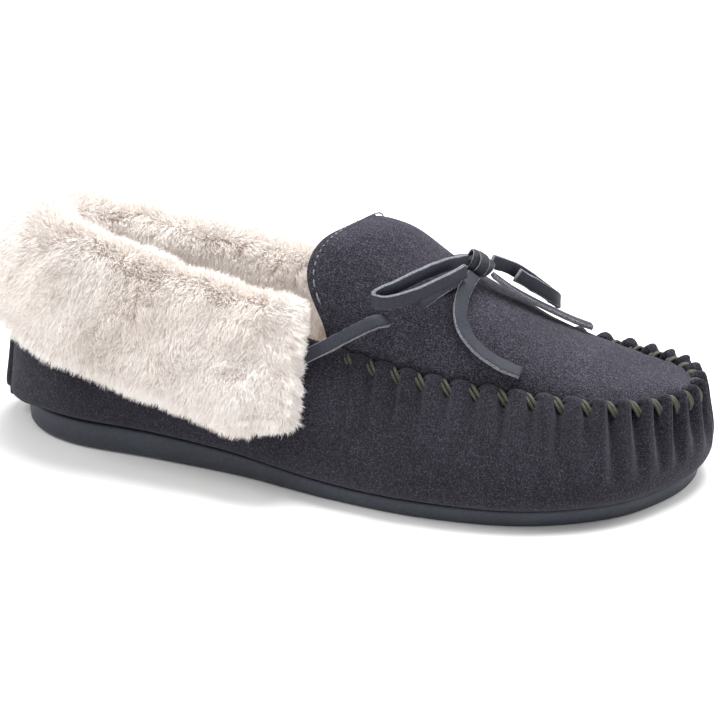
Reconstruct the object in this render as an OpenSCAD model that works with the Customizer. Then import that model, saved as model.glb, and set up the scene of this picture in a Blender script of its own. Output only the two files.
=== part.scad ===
// Fluffy moccasin slipper, right foot, with a folded plush cuff and a thong bow.
// Frame: X runs heel to toe, -Y is the outer (lateral) side, +Y the inner (medial) side, Z up.
// Origin: centre of the bounding box in plan, at the level the outsole stands on. Millimetres.

/* [Outsole] */
// Thickness of the outsole under the heel
heel_thick = 11; // [9:0.5:13]
// Thickness of the outsole under the ball and toe
fore_thick = 6.5; // [5.5:0.5:8]
// Depth of the transverse grooves in the tread
groove_depth = 1.2; // [0.8:0.1:1.6]

/* [Upper] */
// Thickness of the suede
suede_thick = 1.8; // [1.4:0.1:2]
// Thickness of the pile lining
lining_thick = 3.4; // [2.5:0.1:3.6]

/* [Cuff] */
// Height that the folded plush cuff stands above the top of the wall
fold_h = 11; // [8:0.5:13]
// How far the cuff stands out from the wall
cuff_out = 12; // [11:0.5:14]

/* [Seam] */
// Number of whipstitches round the toe ridge
stitch_count = 32; // [24:1:36]
// Radius of one stitch's loop
stitch_r = 3.3; // [3:0.1:3.5]

/* [Lace] */
// Width of the flat leather thong
thong_w = 5; // [4:0.1:5]
// Thickness of the thong
thong_t = 1.8; // [1.5:0.1:2]

/* [Hidden] */
$fn = 48;
// shift that centres the bounding box on the origin in plan
centre_x = -1.7;
centre_y = -0.6;

// Stations round the shoe, 20 of them, counter-clockwise from above: 0 heel, 5 lateral throat,
// 10 toe, 15 medial throat. Each row: sole edge x, y, top edge x, y, z, bulge of the wall.
ST = [
  [-120.5, -5, -118.5, -4, 75, 5], [-115, -21, -113.5, -18, 74, 5], [-97, -31, -96, -26, 71.5, 5],
  [-65, -33.5, -66, -29, 65, 5], [-30, -37, -33, -30, 58, 5], [5, -44, 0, -30.5, 52, 5],
  [40, -47.5, 36, -31, 46, 5], [75, -43.5, 72, -26.5, 42, 6], [103, -29.5, 101, -19, 39.5, 6],
  [119, -10, 119.5, -5, 38, 5], [125.5, 10, 126.5, 10, 38, 5], [120, 28, 119, 25.5, 38.5, 5],
  [101, 41, 100, 31, 40, 6], [66, 46, 70, 32, 43, 6], [30, 40, 34, 33, 47, 5],
  [-10, 30, 0, 30, 51, 5], [-50, 26.5, -36, 28, 56, 5], [-85, 27, -72, 24.5, 62, 5],
  [-107, 20, -101, 18, 68.5, 5], [-117.5, 8, -115, 7, 73, 5]];
// height of the apron's crown above the seam, at stations 5 to 10
RISE = [39.5, 29, 13, 3, 1, 0];

function st(i) = ST[((i % 20) + 20) % 20];
function cr(a, b, c, d, f) = 0.5 * (2 * b + (c - a) * f + (2 * a - 5 * b + 4 * c - d) * f * f + (3 * b - a - 3 * c + d) * f * f * f);
function station(u) = let (i = floor(u), f = u - i) cr(st(i - 1), st(i), st(i + 1), st(i + 2), f);
function rise(u) = let (v = min(4.999, max(0, u - 5)), i = floor(v), f = v - i,
  a = RISE[max(0, i - 1)], b = RISE[i], c = RISE[min(5, i + 1)], d = RISE[min(5, i + 2)]) max(0, cr(a, b, c, d, f));
function outward(u) = let (a = station(u - 0.08), b = station(u + 0.08),
  dx = b[0] + b[2] - a[0] - a[2], dy = b[1] + b[3] - a[1] - a[3], n = sqrt(dx * dx + dy * dy)) [dy / n, -dx / n];
function sole_top(x) = let (t = min(1, max(0, (x + 70) / 90)), s = t * t * (3 - 2 * t)) heel_thick + (fore_thick - heel_thick) * s;
// a point on the wall: s from 0 at the sole to 1 at the top, off inwards from the outer face
function wall_point(u, s, off) = let (p = station(u), n = outward(u), z0 = sole_top(p[0]), ss = max(0, s),
  k = p[5] * sin(180 * sqrt(min(1, ss))) - off)
  [p[0] + (p[2] - p[0]) * ss * ss + n[0] * k, p[1] + (p[3] - p[1]) * ss * ss + n[1] * k, z0 + (p[4] - z0) * s];
// the same at a given height above the sole's top
function at_h(u, h, off) = let (p = station(u), z0 = sole_top(p[0])) wall_point(u, h / (p[4] - z0), off);
// how far the heel end of the wall and its strip spread outward just above the sole
function flare(u, s) = let (v = u > 10 ? u - 20 : u) 6.3 * exp(-s / 0.13) * exp(-pow(v / 1.3, 4));
function wall_h(u) = station(u)[4] - sole_top(station(u)[0]);
function seq(a, b, n) = [for (i = [0:n]) a + (b - a) * i / n];
function unit(v) = v / max(1e-9, norm(v));
function flat(l) = [for (a = l) for (b = a) b];

// A closed surface through a list of equal rings, each ring clockwise along the way it advances.
// Open ends are closed by pairing the points across the ring.
module skin(rings, closed = false) {
  n = len(rings);
  m = len(rings[0]);
  sides = [for (i = [0:closed ? n - 1 : n - 2]) for (j = [0:m - 1])
    let (a = i * m + j, b = i * m + (j + 1) % m, c = ((i + 1) % n) * m + (j + 1) % m, d = ((i + 1) % n) * m + j)
    each [[a, b, c], [a, c, d]]];
  h = m / 2;
  e = (n - 1) * m;
  caps = closed ? [] : [for (j = [0:h - 2]) let (a = j, b = j + 1, c = m - 2 - j, d = m - 1 - j)
    each concat(b < c ? [[a, c, b], [e + a, e + b, e + c]] : [], [[a, d, c], [e + a, e + c, e + d]])];
  polyhedron(flat(rings), concat(sides, caps));
}

module place() translate([-centre_x, -centre_y, 0]) children();

// ---------- sole ----------
module sole_outline(inset, n = 120) {
  polygon([for (i = [0:n - 1]) let (u = 20 * i / n, p = station(u), w = outward(u)) [p[0] - w[0] * inset, p[1] - w[1] * inset]]);
}
module above_sole(lift) {
  // everything above the sole's top surface raised by lift, seen from the side
  rotate([90, 0, 0]) linear_extrude(200, center = true)
    polygon(concat([for (x = [-150:6:150]) [x, sole_top(x) + lift]], [[150, 200], [-150, 200]]));
}
module layer(inset, low, high) {
  difference() {
    intersection() {
      linear_extrude(40) sole_outline(inset);
      above_sole(low);
    }
    above_sole(high);
  }
}
module outsole() color([0.28, 0.31, 0.35]) place() difference() {
  union() {
    translate([0, 0, 1.6]) linear_extrude(20) sole_outline(-0.6);
    linear_extrude(1.6) sole_outline(1.4);
  }
  above_sole(0);
  for (x = [-108:9:-45], y = [0]) translate([x, 0, 0]) cube([3, 90, 2 * groove_depth], center = true);
  for (x = [18:9:108]) translate([x, 0, 0]) cube([3, 120, 2 * groove_depth], center = true);
}
module bottom_filler() color([0.55, 0.5, 0.45]) place() layer(15, 0.1, 1.8);
module insole_board() color([0.6, 0.5, 0.38]) place() layer(2.6, 1.9, 3.4);
module foam_footbed() color([0.85, 0.83, 0.78]) place() layer(5, 3.6, 7.6);
module sock_lining() color([0.8, 0.74, 0.68]) place() layer(4.6, 7.8, 11.3);

// ---------- upper ----------
module upper_wall() color([0.22, 0.22, 0.25]) place() {
  o = [0, 0.05, 0.14, 0.28, 0.46, 0.64, 0.82, 1];
  skin([for (u = seq(0, 20, 96)) if (u < 19.99)
    let (b = 1.7 / wall_h(u), g = 0.1 / wall_h(u), t = suede_thick)
    concat([wall_point(u, g, 14)], [for (s = o) wall_point(u, max(g, s), -flare(u, max(g, s)))],
      [for (s = [7:-1:2]) wall_point(u, o[s], t)], [wall_point(u, b, t), wall_point(u, b, 14)])], closed = true);
}
module heel_counter() color([0.5, 0.45, 0.4]) place()
  skin([for (u = seq(-2.6, 2.6, 26)) let (a = 3.8 / wall_h(u), t = suede_thick + 0.45)
    concat([for (s = [a, 0.14, 0.28, 0.46, 0.6]) wall_point(u, s, t)], [for (s = [0.6, 0.46, 0.28, 0.14, a]) wall_point(u, s, t + 1.2)])]);
function near_heel(u) = abs(u > 10 ? u - 20 : u) < 3.2;
function lining_top(u) = let (v = u > 10 ? 20 - u : u, d = v < 4.7 ? 22 : v > 5.3 ? 5 : 22 - 17 * (v - 4.7) / 0.6) wall_h(u) - d;
module wall_lining() color([0.85, 0.8, 0.76]) place()
  skin([for (u = seq(0, 20, 80)) if (u < 19.99)
    let (t = near_heel(u) ? suede_thick + 1.9 : suede_thick + 0.3, e = suede_thick + 0.3 + lining_thick + 1.4, k = lining_top(u), hs = [11.6, 15, 20, 26 + 0 * u])
    concat([for (h = [11.6, 14, 18]) at_h(u, min(h, k - 1), t)], [for (f = [0.5, 1]) at_h(u, 18 + (k - 18) * f, t)],
      [for (f = [1, 0.5]) at_h(u, 18 + (k - 18) * f, e)], [for (h = [18, 14, 11.6]) at_h(u, min(h, k - 1), e)])], closed = true);
module heel_tab() color([0.27, 0.26, 0.3]) place()
  skin([for (u = seq(-0.42, 0.42, 10)) let (k = 0.9 * (1 - pow(abs(u) / 0.42, 6)))
    concat([for (s = [0.012, 0.05, 0.14, 0.28, 0.46, 0.6]) wall_point(u, s, -0.4 - flare(u, s))],
      [for (s = [0.6, 0.46, 0.28, 0.14, 0.05, 0.012]) wall_point(u, s, -1.8 - k - flare(u, s))])] );

// The raised apron between the two sides of the ridge; w from -1 lateral to +1 medial.
function arch(u, w) = pow(max(0, 1 - w * w), 0.38 + 0.08 * (min(9, u) - 5));
function apron_point(u, w, inset, drop) = let (a = station(u), b = station(20 - u), na = outward(u), nb = outward(20 - u),
  A = [a[2] - na[0] * inset, a[3] - na[1] * inset, a[4]], B = [b[2] - nb[0] * inset, b[3] - nb[1] * inset, b[4]],
  f = (w + 1) / 2, r = max(0.4, rise(u) - drop), lean = 5 * max(0, 1 - (u - 5) / 1.2) * (1 - w * w) * (1 + w))
  A + (B - A) * f + [lean, 0, r * arch(u, w) - 1.2 * pow(abs(w), 8)];
// The tongue is the same sheet carried on behind the throat to a rounded rim that is turned a little
// to the inner side, so that its outer half reaches further back.
function rim_back(w) = let (c = pow(abs(w), 14)) (0.6 + 10 / (1 + exp((w + 0.36) / 0.18))) * (1 - c) + 0.05;
function tongue_point(k, w, inset, drop) = apron_point(5, w, inset, drop) + [-k * rim_back(w), 0, k * (1 - w * w)];
module sheet(uu, kk, ww, ia, da, ib, db) {
  skin(concat(
    [for (k = kk) concat([for (w = ww) tongue_point(k, w, ia, da)], [for (i = [len(ww) - 1:-1:0]) tongue_point(k, ww[i], ib, db)])],
    [for (u = uu) concat([for (w = ww) apron_point(u, w, ia, da)], [for (i = [len(ww) - 1:-1:0]) apron_point(u, ww[i], ib, db)])]));
}
WW = [-1, -0.94, -0.84, -0.7, -0.5, -0.25, 0, 0.25, 0.5, 0.7, 0.84, 0.94, 1];
module apron() color([0.3, 0.3, 0.34]) place()
  sheet(seq(5, 9.65, 34), [1, 0.66, 0.33], WW, 2.1, 0, 3.8, 1.6);
module apron_lining() color([0.85, 0.8, 0.76]) place()
  sheet(seq(5, 8.9, 24), [0.75, 0.38], WW, 4.3, 2.0, 7.4, 5.0);

// ---------- plush cuff ----------
// height of the flap's lower edge, falling from the heel to the throat
function cuff_low(u) = let (v = abs(u > 10 ? u - 20 : u)) v < 1.2 ? 42.5 : v < 4 ? 42.5 - 7.1 * (v - 1.2) : 22.6 + 1.5 * (v - 4);
// a point beside the wall: out from its face, at height z
function cuff_point(u, out, z) = let (p = station(u), n = outward(u), q = wall_point(u, min(1, (z - sole_top(p[0])) / wall_h(u)), 0))
  [q[0] + n[0] * out, q[1] + n[1] * out, z];
// the outer side is plumper than the inner one, and the fold leans inwards at the heel
function plump(u) = let (t = min(1, max(0, (u + 0.5) / 2.5))) 5 * t * t * (3 - 2 * t);
module fur_cuff() color([0.9, 0.87, 0.85]) place()
  skin([for (u = seq(-4.72, 4.72, 64)) let (tz = station(u)[4], v = abs(u), e = max(0, v - 4.2) / 0.52, lo = cuff_low(u) + 3 * e * e,
      o = cuff_out - 3 * e * e - 1.5 * max(0, 1 - v / 2), t = tz + fold_h + 1.5 * e + plump(u), m = (tz + lo) / 2, in = 8.4 - 1.5 * e, g = 8 * exp(-v * v / 2.6))
    [cuff_point(u, 3, lo + 2), cuff_point(u, 6, lo), cuff_point(u, o - 2, lo + 2.5), cuff_point(u, o, lo + 9), cuff_point(u, o - 0.4, m),
     cuff_point(u, o - 1, tz - 2), cuff_point(u, o - 3 - 0.3 * g, t - 4), cuff_point(u, 4.4 - 0.7 * g, t - 0.6), cuff_point(u, -1.5 - g, t - 0.6), cuff_point(u, -5 - 1.2 * g, t - 4.5),
     cuff_point(u, -in - 1.2 * g, tz - 2), cuff_point(u, -in - 0.9 * g, tz - 19), cuff_point(u, -5 - 0.5 * g, tz - 20), cuff_point(u, -2.2, tz - 19),
     cuff_point(u, -2.2, tz + 0.6), cuff_point(u, 1.4, tz + 2.2), cuff_point(u, 3, tz - 2), cuff_point(u, 3, m)]]);

// ---------- stitches ----------
module ring_at(p, dir, r, t) {
  a = atan2(dir[1], dir[0]);
  translate(p) rotate([0, 0, a]) rotate([90, 0, 0]) rotate_extrude($fn = 24) translate([r, 0]) circle(t, $fn = 14);
}
// stitches sit a little wider apart round the toe than beside the throat
function stitch_u(t) = 5.25 + 9.5 * (t - 0.22 * sin(360 * t) / (2 * PI));
module whipstitch_thread() color([0.3, 0.3, 0.24]) place()
  for (i = [0:stitch_count - 1]) {
    u = stitch_u(i / (stitch_count - 1));
    p = station(u);
    n = outward(u);
    ring_at([p[2] - n[0] * 1.9, p[3] - n[1] * 1.9, p[4] - 2.6], [n[0], n[1]], stitch_r, 0.55);
  }
module tongue_stitching() color([0.45, 0.45, 0.47]) place()
  for (i = [0:22]) {
    w = -0.86 + 1.72 * i / 22;
    a = tongue_point(1, w, 2.1, 0) + [3, 0, -1.2 * (1 - w * w)];
    translate(a - [0, 0, 0.9]) rotate([0, 90, 0]) cylinder(r = 0.4, h = 1.6, center = true, $fn = 14);
  }

// ---------- lace ----------
// A thong of eight-sided section along points; up is the way its flat face looks.
function path_dir(P, i) = unit(P[min(len(P) - 1, i + 1)] - P[max(0, i - 1)]);
function smooth_path(P, n) = [for (i = [0:len(P) - 2]) for (k = [0:n - 1])
  cr(P[max(0, i - 1)], P[i], P[i + 1], P[min(len(P) - 1, i + 2)], k / n)];
function whole_path(P, n) = concat(smooth_path(P, n), [P[len(P) - 1]]);
module thong(P, U) {
  w = thong_w / 2;
  t = thong_t / 2;
  skin([for (i = [0:len(P) - 1]) let (d = path_dir(P, i), s = unit(cross(d, U[i])), v = unit(cross(s, d)))
    [for (c = [[1, 0.35], [0.75, 1], [-0.75, 1], [-1, 0.35], [-1, -0.35], [-0.75, -1], [0.75, -1], [1, -0.35]])
      P[i] + s * (c[0] * w) + v * (c[1] * t)]]);
}
// route of each free strand, root first, and the way its flat face looks at each point
LAT_LOOP = [[42.5, -0.6, 78.6], [38.5, -9, 80.4], [32.5, -18, 80], [25, -26.5, 77.6], [19.5, -31.5, 75.6], [19.8, -33.8, 74.6], [24.4, -32, 74], [32, -25.6, 75.2], [39.5, -17, 77.2], [44.6, -8, 78.4]];
MED_LOOP = [[49.6, 9, 75.6], [55, 15, 71.4], [60.5, 20.6, 65.6], [65.5, 25.6, 59], [68, 28.4, 55.4], [69.8, 27.4, 54.8], [69, 22.8, 58.6], [64, 16.5, 64.8], [58.4, 12, 70.2]];
LAT_TAIL = [[46, -1.6, 74.2], [45.4, -7, 73.2], [45, -12.9, 70.3], [46, -18.9, 66], [49.2, -22.2, 61], [54.5, -23.7, 56.3], [61.5, -23.8, 52.2], [69.1, -22.8, 49.2]];
MED_TAIL = [[51.6, 4.4, 72.4], [58, 7.4, 66.6], [65, 11.6, 61], [72, 15.8, 56], [78, 19, 52.2], [83.5, 21.6, 49.4]];
module edge_up(P) { thong(whole_path(P, 3), [for (i = [0:3 * (len(P) - 1)]) let (d = path_dir(whole_path(P, 3), i)) unit(cross(d, [0, 0, 1]))]); }
module flat_up(P, s) { thong(whole_path(P, 3), [for (i = [0:3 * (len(P) - 1)]) [0.5, s * 0.35, 0.8]]); }
LACE = [0.33, 0.34, 0.39];
module lateral_loop() color(LACE) place() edge_up(LAT_LOOP);
module medial_loop() color(LACE) place() edge_up(MED_LOOP);
module lateral_tail() color(LACE) place() flat_up(LAT_TAIL, -1);
module medial_tail() color(LACE) place() flat_up(MED_TAIL, 1);
module lace_knot() color(LACE) place() translate([46.2, 4, 76.2]) rotate([0, 36, 22]) {
  difference() {
    scale([0.62, 0.62, 0.62]) rotate([0, 90, 0]) cylinder(r = 7, h = 7.4, center = true);
    rotate([0, 90, 0]) cylinder(r = 2.2, h = 10, center = true);
  }
  rotate([0, 90, 0]) cylinder(r = 2.1, h = 7.8, center = true);
}
// the held part of the lace: round the heel under the cuff, then over the sides of the apron to the knot
LAT_RUN = [[3, -33.4, 55.4], [10.6, -32, 60.4], [17.2, -29.7, 64], [19.9, -27.2, 64.2], [21.2, -23.6, 62], [26, -20, 60], [31.4, -18.2, 68.4], [37.2, -11.4, 72.4], [41.4, -4.6, 74]];
MED_RUN = [[3, 33, 54.4], [10.6, 32.6, 59.4], [18, 30.6, 63.4], [22, 27.4, 59.4], [27, 23.4, 62], [31.6, 20.6, 67.6], [37.8, 15, 72.6], [43.6, 9.4, 75.6]];
module lace_run() color(LACE) place() {
  back = [for (u = seq(-4.7, 4.7, 40)) let (p = at_h(u, wall_h(u) * 0.88, -1.25)) p];
  bn = [for (u = seq(-4.7, 4.7, 40)) let (n = outward(u)) [n[0], n[1], 0]];
  lat = whole_path(LAT_RUN, 3);
  med = whole_path([for (i = [len(MED_RUN) - 1:-1:0]) MED_RUN[i]], 3);
  thong(concat(med, back, lat), concat([for (p = med) unit([0.3, 1, 1.1])], bn, [for (p = lat) unit([0.3, -1, 1.1])]));
}

outsole();
bottom_filler();
insole_board();
foam_footbed();
sock_lining();
upper_wall();
heel_counter();
wall_lining();
heel_tab();
apron();
apron_lining();
fur_cuff();
whipstitch_thread();
tongue_stitching();
lace_run();
lace_knot();
lateral_loop();
medial_loop();
lateral_tail();
medial_tail();
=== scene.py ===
import math

import bpy
import numpy as np
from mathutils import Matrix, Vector


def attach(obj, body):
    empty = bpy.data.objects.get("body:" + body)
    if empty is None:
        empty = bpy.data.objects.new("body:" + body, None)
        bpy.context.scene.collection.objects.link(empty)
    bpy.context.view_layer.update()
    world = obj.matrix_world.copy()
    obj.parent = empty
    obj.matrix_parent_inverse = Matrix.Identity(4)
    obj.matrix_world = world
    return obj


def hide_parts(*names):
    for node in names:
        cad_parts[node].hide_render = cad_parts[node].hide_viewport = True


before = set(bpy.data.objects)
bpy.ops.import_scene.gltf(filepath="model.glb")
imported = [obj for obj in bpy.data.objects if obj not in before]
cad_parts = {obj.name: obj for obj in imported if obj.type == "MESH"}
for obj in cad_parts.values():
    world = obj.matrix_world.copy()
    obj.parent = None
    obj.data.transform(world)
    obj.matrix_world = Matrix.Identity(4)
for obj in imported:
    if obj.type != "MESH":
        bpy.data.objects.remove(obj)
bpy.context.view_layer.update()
BODY = "shoe"
MM = 1000                                            # millimetres in a metre
CX, CY = -1.7, -0.6                                  # the part's own centring shift, mm
SHIFT = np.array([-CX, -CY, 0.0])

# ---------------------------------------------------------------- camera
DISTANCE, AZIMUTH, ELEVATION = 1200.0, 17.4, 25.2    # mm and degrees, about the target
LENS, SENSOR, TARGET_Z = 166.95, 36, 40.0            # mm
az, el = math.radians(AZIMUTH), math.radians(ELEVATION)
back = Vector((math.sin(az) * math.cos(el), -math.cos(az) * math.cos(el), math.sin(el)))
target = Vector((-CX, -CY, TARGET_Z))
cam_data = bpy.data.cameras.new("camera")
cam = bpy.data.objects.new("camera", cam_data)
bpy.context.collection.objects.link(cam)
cam.location = (target + back * DISTANCE) / MM
cam.rotation_euler = (-back).to_track_quat("-Z", "Y").to_euler()
cam_data.sensor_width = SENSOR
cam_data.lens = LENS
cam_data.shift_x, cam_data.shift_y = 1 / 72, -1 / 48
cam_data.clip_end = 20
bpy.context.scene.camera = cam

# ---------------------------------------------------------------- the shoe's surfaces, in mm
# Stations round the shoe, from the heel (0) along the near side to the toe (10) and back along the far side.
# Columns: x and y of the wall at the sole, x, y and z of its top edge, and how far it bulges between them.
STATIONS = np.array([
    [-120.5, -5, -118.5, -4, 75, 5], [-115, -21, -113.5, -18, 74, 5], [-97, -31, -96, -26, 71.5, 5],
    [-65, -33.5, -66, -29, 65, 5], [-30, -37, -33, -30, 58, 5], [5, -44, 0, -30.5, 52, 5],
    [40, -47.5, 36, -31, 46, 5], [75, -43.5, 72, -26.5, 42, 6], [103, -29.5, 101, -19, 39.5, 6],
    [119, -10, 119.5, -5, 38, 5], [125.5, 10, 126.5, 10, 38, 5], [120, 28, 119, 25.5, 38.5, 5],
    [101, 41, 100, 31, 40, 6], [66, 46, 70, 32, 43, 6], [30, 40, 34, 33, 47, 5],
    [-10, 30, 0, 30, 51, 5], [-50, 26.5, -36, 28, 56, 5], [-85, 27, -72, 24.5, 62, 5],
    [-107, 20, -101, 18, 68.5, 5], [-117.5, 8, -115, 7, 73, 5]], float)
COUNT = len(STATIONS)
THROAT, TOE = 5, 10                                  # the stations where the tongue starts, and the toe
RISE = np.array([39.5, 29, 13, 3, 1, 0.0])           # the apron's crown over the ridge, from throat to toe
STITCHES, U0, U1 = 32, 5.25, 14.75                   # whipstitches, and the stations of the first and last
SUEDE_IN, CREST_DROP = 3.2, 2.4                      # the apron's outer skin: inset from the wall, dip at its edge
SOLE_HEEL, SOLE_TOE = 11, 6.5                        # thickness of the sole


def spline(a, b, c, d, f):
    """Catmull-Rom curve from b to c at fraction f."""
    return 0.5 * (2 * b + (c - a) * f + (2 * a - 5 * b + 4 * c - d) * f * f + (3 * b - a - 3 * c + d) * f ** 3)


def station(u):
    u = np.asarray(u, float)
    i = np.floor(u).astype(int)
    f = (u - i)[..., None]
    return spline(*(STATIONS[(i + k) % COUNT] for k in (-1, 0, 1, 2)), f)


def signed(u):
    """Distance from the heel in stations, negative on the far side."""
    return np.where(np.asarray(u) > TOE, np.asarray(u) - COUNT, u)


def rise(u):
    v = np.clip(np.asarray(u, float) - THROAT, 0, 4.999)
    i = np.floor(v).astype(int)
    last = len(RISE) - 1
    return np.maximum(0, spline(RISE[np.maximum(0, i - 1)], RISE[i], RISE[np.minimum(last, i + 1)],
                                RISE[np.minimum(last, i + 2)], v - i))


def outward(u):
    d = station(np.asarray(u) + 0.08) - station(np.asarray(u) - 0.08)
    dx, dy = d[..., 0] + d[..., 2], d[..., 1] + d[..., 3]
    n = np.hypot(dx, dy)
    return np.stack([dy / n, -dx / n], -1)


def sole_top(x):
    t = np.clip((x + 70) / 90, 0, 1)
    return SOLE_HEEL + (SOLE_TOE - SOLE_HEEL) * t * t * (3 - 2 * t)


def wall(u, s, off):
    """Points of the side wall at station u and height s (0 sole, 1 top edge), off mm inside its outer skin."""
    u, s, off = np.broadcast_arrays(np.asarray(u, float), np.asarray(s, float), np.asarray(off, float))
    p, n = station(u), outward(u)
    z0, ss = sole_top(p[..., 0]), np.maximum(0, s)
    k = p[..., 5] * np.sin(np.pi * np.sqrt(np.minimum(1, ss))) - off
    return np.stack([p[..., 0] + (p[..., 2] - p[..., 0]) * ss * ss + n[..., 0] * k,
                     p[..., 1] + (p[..., 3] - p[..., 1]) * ss * ss + n[..., 1] * k, z0 + (p[..., 4] - z0) * s], -1)


def skin_flare(u, s):
    """How far the wall hangs out over the sole at the heel."""
    return 6.3 * np.exp(-np.asarray(s) / 0.13) * np.exp(-(signed(u) / 1.3) ** 4)


def wall_h(u):
    p = station(u)
    return p[..., 4] - sole_top(p[..., 0])


def wall_z(u, z, off):
    p = station(u)
    return wall(u, (z - sole_top(p[..., 0])) / (p[..., 4] - sole_top(p[..., 0])), off)


def apron(u, w, inset=2.1, drop=0.0, edge=1.2):
    """Points of the apron at station u, across it from w = -1 (near) to 1 (far)."""
    u, w = np.broadcast_arrays(np.asarray(u, float), np.asarray(w, float))
    a, b, na, nb = station(u), station(COUNT - u), outward(u), outward(COUNT - u)
    A = np.stack([a[..., 2] - na[..., 0] * inset, a[..., 3] - na[..., 1] * inset, a[..., 4]], -1)
    B = np.stack([b[..., 2] - nb[..., 0] * inset, b[..., 3] - nb[..., 1] * inset, b[..., 4]], -1)
    r = np.maximum(0.4, rise(u) - drop)
    P = A + (B - A) * ((w + 1) / 2)[..., None]
    P[..., 0] += 5 * np.maximum(0, 1 - (u - 5) / 1.2) * (1 - w * w) * (1 + w)
    P[..., 2] += r * np.maximum(0, 1 - w * w) ** (0.38 + 0.08 * (np.minimum(9, u) - 5)) - edge * np.abs(w) ** 8
    return P


def rim_back(w):
    """How far the tongue reaches back past the throat."""
    c = np.abs(w) ** 14
    return (0.6 + 10 / (1 + np.exp((w + 0.36) / 0.18))) * (1 - c) + 0.05


def tongue(k, w, inset=2.1, drop=0.0, edge=1.2):
    """Points of the tongue, from the throat (k = 0) to its rim (k = 1)."""
    k, w = np.broadcast_arrays(np.asarray(k, float), np.asarray(w, float))
    P = apron(np.full(w.shape, 5.0), w, inset, drop, edge)
    P[..., 0] -= k * rim_back(w)
    P[..., 2] += k * (1 - w * w)
    return P


def cuff_low(u):
    """Height of the cuff's lower edge."""
    v = np.abs(signed(u))
    return np.where(v < 1.2, 42.5, np.where(v < 4, 42.5 - 7.1 * (v - 1.2), 22.6 + 1.5 * (v - 4)))


def value_noise(p, seed=0):
    """Smooth noise in -1..1 at points p (n, 3), one cell per unit."""
    p = np.asarray(p, float)
    i = np.floor(p).astype(np.int64)
    f = p - i
    f = f * f * (3 - 2 * f)
    out = 0
    for dx in (0, 1):
        for dy in (0, 1):
            for dz in (0, 1):
                q = i + np.array([dx, dy, dz])
                h = (q[..., 0] * 73856093) ^ (q[..., 1] * 19349663) ^ (q[..., 2] * 83492791)
                h = h ^ (seed * 2654435761 % 2147483647)
                h = (h ^ (h >> 13)) * 1274126177
                h = ((h ^ (h >> 16)) & 0xFFFF) / 32767.5 - 1
                wx = np.where(dx, f[..., 0], 1 - f[..., 0])
                wy = np.where(dy, f[..., 1], 1 - f[..., 1])
                wz = np.where(dz, f[..., 2], 1 - f[..., 2])
                out = out + h * wx * wy * wz
    return out


# ---------------------------------------------------------------- materials
def new_mat(name):
    m = bpy.data.materials.new(name)
    m.use_nodes = True
    nodes = m.node_tree.nodes
    return m, nodes["Principled BSDF"], nodes, m.node_tree.links


def set_in(b, **kw):
    for k, v in kw.items():
        k = k.replace("_", " ")
        if k in b.inputs:
            b.inputs[k].default_value = v


def noise(nodes, links, coord, scale, detail=3.0, rough=0.6):
    n = nodes.new("ShaderNodeTexNoise")
    n.inputs["Scale"].default_value = scale
    n.inputs["Detail"].default_value = detail
    n.inputs["Roughness"].default_value = rough
    links.new(coord, n.inputs["Vector"])
    return n


def ramp(nodes, links, src, stops):
    r = nodes.new("ShaderNodeValToRGB")
    el = r.color_ramp.elements
    el[0].position, el[0].color = stops[0][0], (*stops[0][1], 1)
    el[1].position, el[1].color = stops[-1][0], (*stops[-1][1], 1)
    for p, c in stops[1:-1]:
        k = el.new(p)
        k.color = (*c, 1)
    links.new(src, r.inputs["Fac"])
    return r


def mix(nodes, links, fac, a, b, mode="MIX"):
    m = nodes.new("ShaderNodeMixRGB")
    m.blend_type = mode
    for sock, v in ((m.inputs[0], fac), (m.inputs[1], a), (m.inputs[2], b)):
        if isinstance(v, (int, float)):
            sock.default_value = v
        elif isinstance(v, tuple):
            sock.default_value = (*v, 1)
        else:
            links.new(v, sock)
    return m.outputs[0]


def add_bump(nodes, links, shader, height, strength, distance):
    bump = nodes.new("ShaderNodeBump")
    bump.inputs["Strength"].default_value = strength
    bump.inputs["Distance"].default_value = distance
    links.new(height, bump.inputs["Height"])
    links.new(bump.outputs[0], shader.inputs["Normal"])


def suede(name, dark, mid, light, bump=0.5):
    m, b, N, L = new_mat(name)
    co = N.new("ShaderNodeTexCoord").outputs["Object"]
    grain = noise(N, L, co, 1900, 4, 0.8)
    nap = noise(N, L, co, 420, 4, 0.7)
    patch = noise(N, L, co, 38, 3, 0.55)
    c1 = ramp(N, L, grain.outputs["Fac"], [(0.38, dark), (0.51, mid), (0.66, light)]).outputs[0]
    c2 = ramp(N, L, nap.outputs["Fac"], [(0.3, (0.76, 0.76, 0.78)), (0.72, (1.24, 1.24, 1.22))]).outputs[0]
    c3 = ramp(N, L, patch.outputs["Fac"], [(0.3, (0.82, 0.82, 0.83)), (0.7, (1.16, 1.15, 1.15))]).outputs[0]
    c = mix(N, L, 1.0, mix(N, L, 1.0, c1, c2, "MULTIPLY"), c3, "MULTIPLY")
    L.new(c, b.inputs["Base Color"])
    set_in(b, Roughness=0.95, Sheen_Weight=0.12, Sheen_Roughness=0.5, Specular_IOR_Level=0.2)
    b.inputs["Sheen Tint"].default_value = (0.62, 0.62, 0.72, 1)
    h = N.new("ShaderNodeMath")
    h.operation = "ADD"
    L.new(grain.outputs["Fac"], h.inputs[0])
    L.new(nap.outputs["Fac"], h.inputs[1])
    add_bump(N, L, b, h.outputs[0], bump, 0.0006)
    return m


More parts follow.
